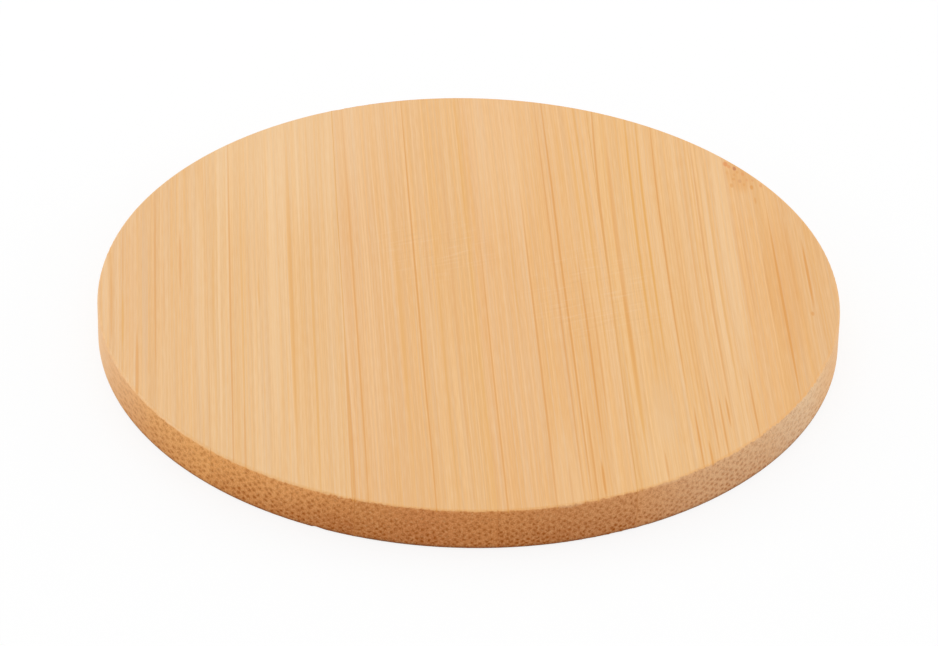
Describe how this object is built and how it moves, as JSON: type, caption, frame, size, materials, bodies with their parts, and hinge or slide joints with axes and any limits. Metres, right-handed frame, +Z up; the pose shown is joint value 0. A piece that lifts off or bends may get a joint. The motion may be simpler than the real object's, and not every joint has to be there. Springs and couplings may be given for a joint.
{
  "type": "drink coaster",
  "caption": "Flat round drink coaster cut from a board of bamboo strips glued edge to edge, with an eased arris round both faces.",
  "frame": {"origin": "centre of the underside, on the plane that the coaster stands on", "axes": "+Z up through the coaster's centre to the cup face, +Y along the bamboo's grain, +X across the strips"},
  "size_m": [0.1, 0.1, 0.006],
  "materials": {
    "bamboo": "planed and finely sanded bamboo, matt, grain along Y",
    "glue": "cured amber wood glue, sanded flush"
  },
  "bodies": {
    "root": {"strip_left_edge": "bamboo", "strip_left_outer": "bamboo", "strip_left_inner": "bamboo", "strip_right_inner": "bamboo", "strip_right_outer": "bamboo", "strip_right_edge": "bamboo", "glue_left_edge": "glue", "glue_left": "glue", "glue_middle": "glue", "glue_right": "glue", "glue_right_edge": "glue"}
  },
  "joints": []
}
